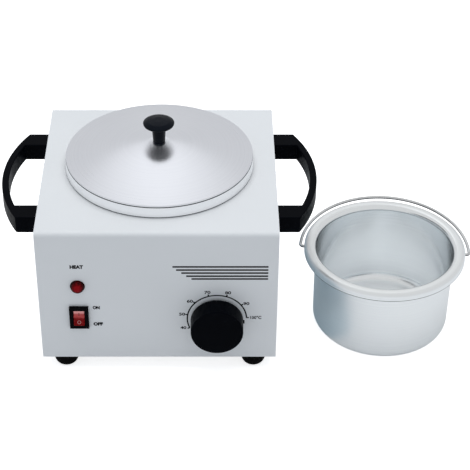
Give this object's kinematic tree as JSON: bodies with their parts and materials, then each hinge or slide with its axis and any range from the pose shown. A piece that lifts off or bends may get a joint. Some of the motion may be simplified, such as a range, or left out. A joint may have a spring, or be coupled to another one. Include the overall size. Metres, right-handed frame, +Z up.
{
  "type": "wax heater",
  "caption": "Thermostatic wax heater with a sheet metal housing, a lidded heated well, side handles, a rocker switch and a lamp, and its loose bucket with a swinging bail.",
  "frame": {"origin": "on the floor, under the middle of the housing, its handles and the bucket taken together", "axes": "+Z up, -Y towards the front panel, +X towards the bucket"},
  "size_m": [0.376, 0.21, 0.1758],
  "materials": {
    "white_paint": "powder coat",
    "base_zinc": "zinc plated",
    "screw_steel": "zinc plated",
    "foot_rubber": "matte",
    "black_plastic": "satin",
    "well_aluminium": "spun",
    "brass_band": "satin",
    "mineral_wool": "matte",
    "grey_plastic": "satin",
    "copper_brass": "satin",
    "gloss_black": "gloss",
    "red_rocker": "gloss",
    "red_lens": "gloss",
    "amber_glass": "clear",
    "white_plastic": "satin",
    "wire_cover": "satin",
    "lid_aluminium": "satin spun",
    "bucket_aluminium": "satin spun",
    "bail_steel": "bright"
  },
  "bodies": {
    "housing": {"housing_wrap": "white_paint", "side_panel_left": "white_paint", "side_panel_right": "white_paint", "base_plate": "base_zinc", "base_screws": "screw_steel", "foot_front_left": "foot_rubber", "foot_front_right": "foot_rubber", "foot_rear_left": "foot_rubber", "foot_rear_right": "foot_rubber", "foot_screws": "screw_steel", "foot_nuts": "screw_steel", "handle_left": "black_plastic", "handle_right": "black_plastic", "handle_screws": "screw_steel", "heater_well": "well_aluminium", "well_screws": "screw_steel", "well_nuts": "screw_steel", "band_heater": "brass_band", "band_clamp_screw": "screw_steel", "insulation_sleeve": "mineral_wool", "heat_shield": "well_aluminium", "shield_standoffs": "screw_steel", "shield_screws": "screw_steel", "thermal_cutout": "grey_plastic", "thermostat_body": "grey_plastic", "thermostat_screws": "screw_steel", "sensor_bulb": "copper_brass", "capillary": "copper_brass", "bulb_clips": "screw_steel", "switch_body": "gloss_black", "switch_terminals": "brass_band", "lamp_lens": "red_lens", "lamp_nut": "grey_plastic", "neon_bulb": "amber_glass", "terminal_block": "white_plastic", "terminal_screws": "brass_band", "earth_stud": "brass_band", "internal_wires": "wire_cover", "cord_gland": "black_plastic", "gland_nut": "black_plastic"},
    "knob": {"control_knob": "black_plastic", "thermostat_shaft": "screw_steel"},
    "rocker": {"rocker": "red_rocker"},
    "lid": {"lid_shell": "lid_aluminium", "lid_knob": "black_plastic", "lid_knob_screw": "screw_steel", "lid_washer": "screw_steel"},
    "bucket": {"bucket": "bucket_aluminium"},
    "bail": {"bail": "bail_steel"}
  },
  "joints": [
    {"name": "knob_turn", "type": "hinge", "parent": "housing", "child": "knob", "pos_m": [-0.0169, -0.087, 0.0522], "axis": [0, -1, 0], "range_deg": [0, 203]},
    {"name": "rocker_tip", "type": "hinge", "parent": "housing", "child": "rocker", "pos_m": [-0.1242, -0.0876, 0.0544], "axis": [1, 0, 0], "range_deg": [0, 24]},
    {"name": "lid_lift", "type": "slide", "parent": "housing", "child": "lid", "axis": [0, 0, 1], "range_m": [0, 0.15]},
    {"name": "bucket_lift", "type": "slide", "parent": "housing", "child": "bucket", "axis": [0.6, 0, 0.8], "range_m": [0, 0.15]},
    {"name": "bail_swing", "type": "hinge", "parent": "bucket", "child": "bail", "pos_m": [0.1188, -0.0214, 0.0698], "axis": [0.9959, -0.0906, 0], "range_deg": [0, 171]}
  ]
}
